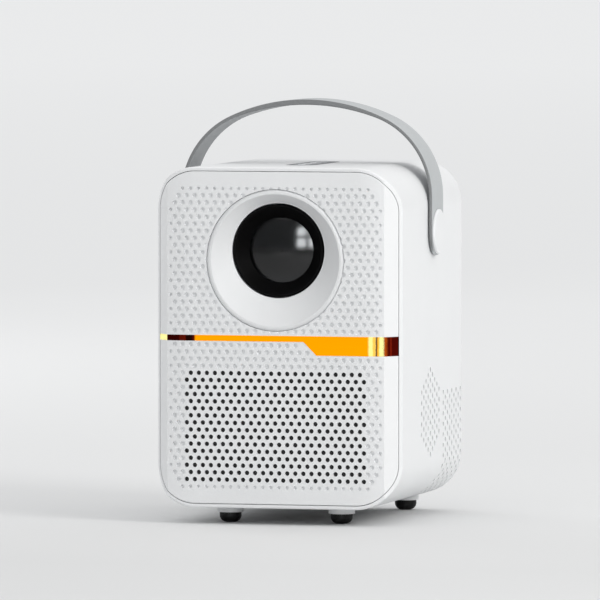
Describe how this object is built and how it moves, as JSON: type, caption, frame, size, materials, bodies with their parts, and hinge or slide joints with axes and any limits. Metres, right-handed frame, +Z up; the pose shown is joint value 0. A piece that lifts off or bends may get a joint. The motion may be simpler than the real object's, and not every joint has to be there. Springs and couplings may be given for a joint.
{
  "type": "home projector",
  "caption": "Upright white home projector with a dimpled and drilled front, deep lens dish, orange accent strip, swinging grey carry strap, rubber feet and a full working interior.",
  "frame": {"origin": "on the floor under the middle of the body", "axes": "+Z up, the lens looks along -Y, +X to the right seen from the front"},
  "size_m": [0.1206, 0.1251, 0.191],
  "materials": {
    "white_shell": "fine satin moulded white",
    "white_panel": "satin white with drilled and dimpled perforation",
    "dish_white": "smooth satin white",
    "accent_orange": "mirror-gloss orange metallic foil",
    "strap_grey": "soft matte grey strap",
    "control_grey": "satin grey",
    "key_grey": "satin grey",
    "lens_black": "satin black",
    "lens_glass": "coated clear glass",
    "inner_glass": "clear optical plastic",
    "frame_black": "moulded black",
    "gear_white": "natural acetal",
    "spring_steel": "plated steel",
    "panel_dark": "dark display glass and polariser",
    "circuit_board": "green solder mask",
    "sink_aluminium": "extruded aluminium",
    "fan_black": "moulded black",
    "mesh_black": "black acoustic cloth",
    "cone_black": "paper cone",
    "magnet_steel": "plated magnet cup",
    "socket_black": "moulded black",
    "window_dark": "dark infrared window",
    "transformer_yellow": "yellow taped winding",
    "capacitor_black": "sleeved can",
    "foot_rubber": "black rubber",
    "insert_brass": "knurled brass"
  },
  "bodies": {
    "body": {"housing_shell": "white_shell", "rear_cover": "white_shell", "foot_collars": "white_shell", "pivot_caps": "white_shell", "front_panel": "white_panel", "lens_dish": "dish_white", "accent_strip": "accent_orange", "control_plate": "control_grey", "fresnel_lenses": "inner_glass", "condenser_lens": "inner_glass", "front_frame": "frame_black", "engine_deck": "frame_black", "lens_sleeve": "frame_black", "light_engine_case": "frame_black", "speaker_frames": "frame_black", "focus_motor": "frame_black", "pivot_washers": "gear_white", "ring_clip": "spring_steel", "pivot_pins": "spring_steel", "rear_screws": "spring_steel", "board_screws": "spring_steel", "foot_screws": "spring_steel", "video_port_shell": "spring_steel", "data_port_shell": "spring_steel", "lcd_panel": "panel_dark", "main_board": "circuit_board", "power_board": "circuit_board", "key_board": "circuit_board", "led_module": "circuit_board", "heat_sink": "sink_aluminium", "processor_sink": "sink_aluminium", "exhaust_fan_frame": "fan_black", "intake_fan_frame": "fan_black", "speaker_mesh": "mesh_black", "speaker_cones": "cone_black", "speaker_magnets": "magnet_steel", "port_tongues": "socket_black", "av_jack": "socket_black", "power_jack": "socket_black", "ir_window": "window_dark", "power_transformer": "transformer_yellow", "power_capacitors": "capacitor_black", "foot_pads": "foot_rubber", "tripod_insert": "insert_brass"},
    "handle": {"handle_strap": "strap_grey", "handle_bushes": "gear_white"},
    "lens_barrel": {"lens_hood": "lens_black", "focus_barrel": "lens_black", "front_lens": "lens_glass", "middle_lens": "inner_glass", "rear_lens": "inner_glass"},
    "focus_ring": {"focus_ring_gear": "gear_white"},
    "focus_drive": {"focus_pinion": "gear_white"},
    "exhaust_rotor": {"exhaust_fan_rotor": "fan_black"},
    "intake_rotor": {"intake_fan_rotor": "fan_black"},
    "power_key": {"key_power": "key_grey"},
    "back_key": {"key_back": "key_grey"},
    "select_key": {"key_select": "key_grey"},
    "volume_down_key": {"key_volume_down": "key_grey"},
    "volume_up_key": {"key_volume_up": "key_grey"}
  },
  "joints": [
    {"name": "handle_swing", "type": "hinge", "parent": "body", "child": "handle", "pos_m": [0, 0.0048, 0.1308], "axis": [1, 0, 0], "range_deg": [-20, 20]},
    {"name": "focus_travel", "type": "slide", "parent": "body", "child": "lens_barrel", "axis": [0, -1, 0], "range_m": [-0.0015, 0.0025]},
    {"name": "focus_ring_turn", "type": "hinge", "parent": "body", "child": "focus_ring", "pos_m": [0, -0.038, 0.1239], "axis": [0, -1, 0], "range_deg": [-67.5, 112.5]},
    {"name": "focus_pinion_spin", "type": "hinge", "parent": "body", "child": "focus_drive", "pos_m": [-0.02263, -0.038, 0.10127], "axis": [0, -1, 0], "range_deg": [-450, 270]},
    {"name": "exhaust_fan_spin", "type": "hinge", "parent": "body", "child": "exhaust_rotor", "pos_m": [0, 0.053, 0.1239], "axis": [0, -1, 0], "continuous": true},
    {"name": "intake_fan_spin", "type": "hinge", "parent": "body", "child": "intake_rotor", "pos_m": [0.048, -0.00025, 0.0486], "axis": [-1, 0, 0], "continuous": true},
    {"name": "power_press", "type": "slide", "parent": "body", "child": "power_key", "axis": [0, 0, -1], "range_m": [0, 0.0004], "stiffness_N_per_m": 400, "springref_m": -0.0005},
    {"name": "back_press", "type": "slide", "parent": "body", "child": "back_key", "axis": [0, 0, -1], "range_m": [0, 0.0004], "stiffness_N_per_m": 400, "springref_m": -0.0005},
    {"name": "select_press", "type": "slide", "parent": "body", "child": "select_key", "axis": [0, 0, -1], "range_m": [0, 0.0004], "stiffness_N_per_m": 400, "springref_m": -0.0005},
    {"name": "volume_down_press", "type": "slide", "parent": "body", "child": "volume_down_key", "axis": [0, 0, -1], "range_m": [0, 0.0004], "stiffness_N_per_m": 400, "springref_m": -0.0005},
    {"name": "volume_up_press", "type": "slide", "parent": "body", "child": "volume_up_key", "axis": [0, 0, -1], "range_m": [0, 0.0004], "stiffness_N_per_m": 400, "springref_m": -0.0005}
  ],
  "couplings": [
    {"joint": "focus_ring_turn", "follows": "focus_travel", "rad_per_m": 785.4},
    {"joint": "focus_pinion_spin", "follows": "focus_travel", "rad_per_m": -3141.6}
  ]
}
